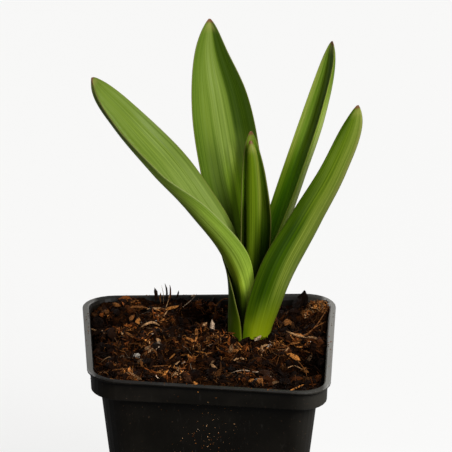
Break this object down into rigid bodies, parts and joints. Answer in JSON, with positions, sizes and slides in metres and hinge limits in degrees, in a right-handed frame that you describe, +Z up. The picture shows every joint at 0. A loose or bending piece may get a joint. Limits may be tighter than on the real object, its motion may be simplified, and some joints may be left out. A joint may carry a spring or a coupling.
{
  "type": "potted allium",
  "caption": "Young bulb plant with cupped strap leaves rising from potting soil in a square tapered nursery pot.",
  "frame": {"origin": "centre of the pot's underside, at the foot plane", "axes": "+Z up; +X to the right and +Y away from the viewer, square to the pot's sides"},
  "size_m": [0.1017, 0.0945, 0.2038],
  "materials": {
    "pot": "satin black moulded plastic",
    "soil": "crumbly dark potting soil",
    "leaf_back": "living leaf, waxy satin",
    "leaf_front_right": "living leaf, waxy satin",
    "leaf_left": "living leaf, waxy satin",
    "leaf_right_back": "living leaf, waxy satin",
    "leaf_inner": "living leaf, waxy satin",
    "leaf_heart": "living leaf, waxy satin"
  },
  "bodies": {
    "root": {"pot": "pot", "soil": "soil", "leaf_back": "leaf_back", "leaf_front_right": "leaf_front_right", "leaf_left": "leaf_left", "leaf_right_back": "leaf_right_back", "leaf_inner": "leaf_inner", "leaf_heart": "leaf_heart"}
  },
  "joints": []
}
